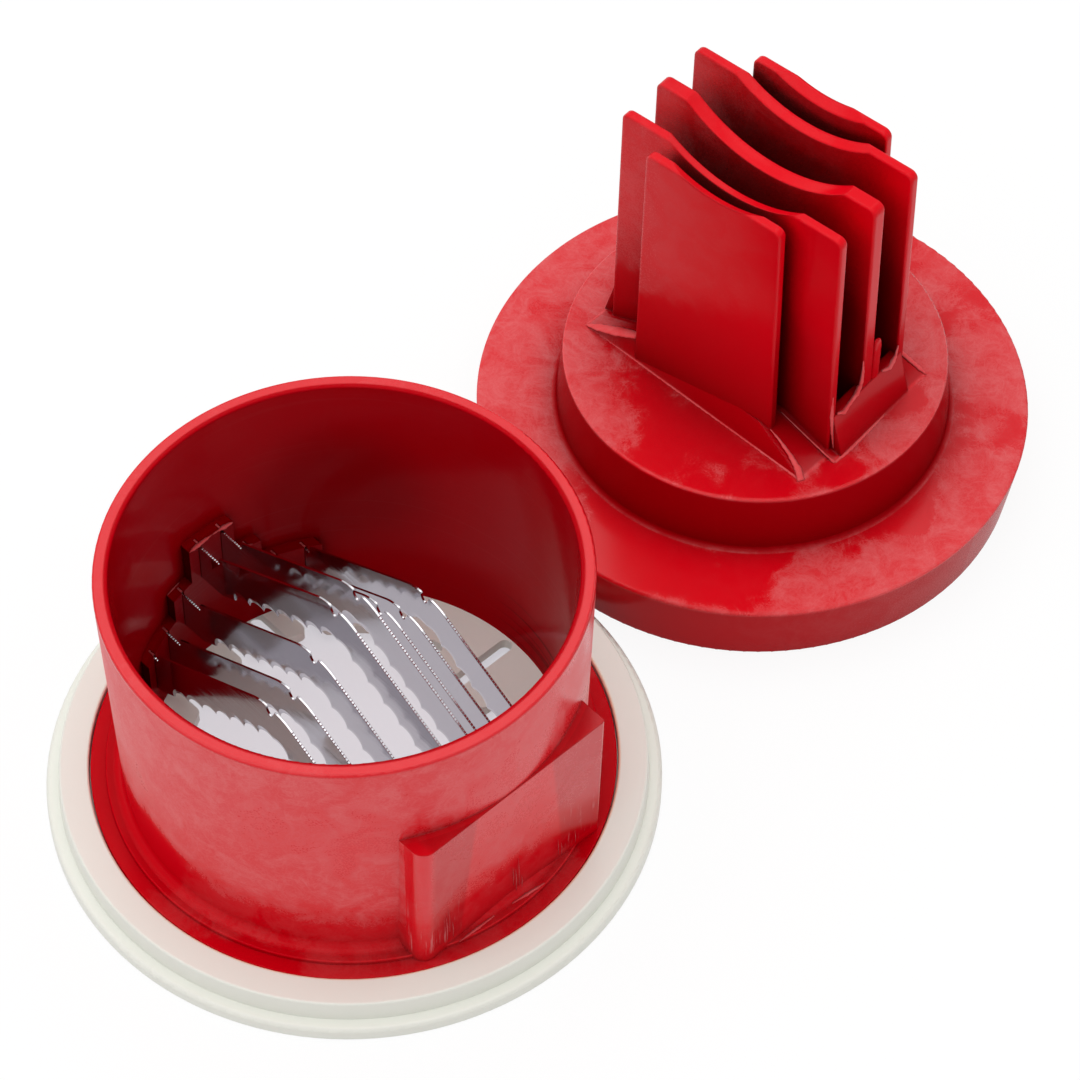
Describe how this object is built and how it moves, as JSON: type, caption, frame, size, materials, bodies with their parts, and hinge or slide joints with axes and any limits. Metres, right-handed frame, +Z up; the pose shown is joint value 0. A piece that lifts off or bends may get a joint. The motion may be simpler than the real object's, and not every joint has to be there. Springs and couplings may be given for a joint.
{
  "type": "fruit slicer",
  "caption": "Fruit slicer for a bench press: round red cup with serrated slicing blades in an ivory base ring, and a finned red plunger.",
  "frame": {"origin": "on the cup's axis, on the surface that the ring and the plunger stand on", "axes": "+Z up along the cup's axis; X along the blades, with the cup's key pad on +X; the plunger stands on the +Y side"},
  "size_m": [0.1282, 0.241, 0.0938],
  "materials": {
    "red_plastic": "satin moulded, faintly mottled",
    "ivory_plastic": "smooth satin",
    "blade_steel": "polished"
  },
  "bodies": {
    "base": {"base_ring": "ivory_plastic"},
    "cup": {"blade_cup": "red_plastic", "blade_1": "blade_steel", "blade_2": "blade_steel", "blade_3": "blade_steel", "blade_4": "blade_steel", "blade_5": "blade_steel", "blade_6": "blade_steel", "blade_7": "blade_steel", "blade_8": "blade_steel"},
    "plunger": {"plunger": "red_plastic"}
  },
  "joints": [
    {"name": "cup_lift", "type": "slide", "parent": "base", "child": "cup", "axis": [0, 0, 1], "range_m": [0, 0.068]},
    {"name": "plunger_turn", "type": "hinge", "parent": "base", "child": "plunger", "pos_m": [-0.00367, 0.06009, 0.083], "axis": [0.9981, 0.061, 0], "range_deg": [0, 180]}
  ]
}
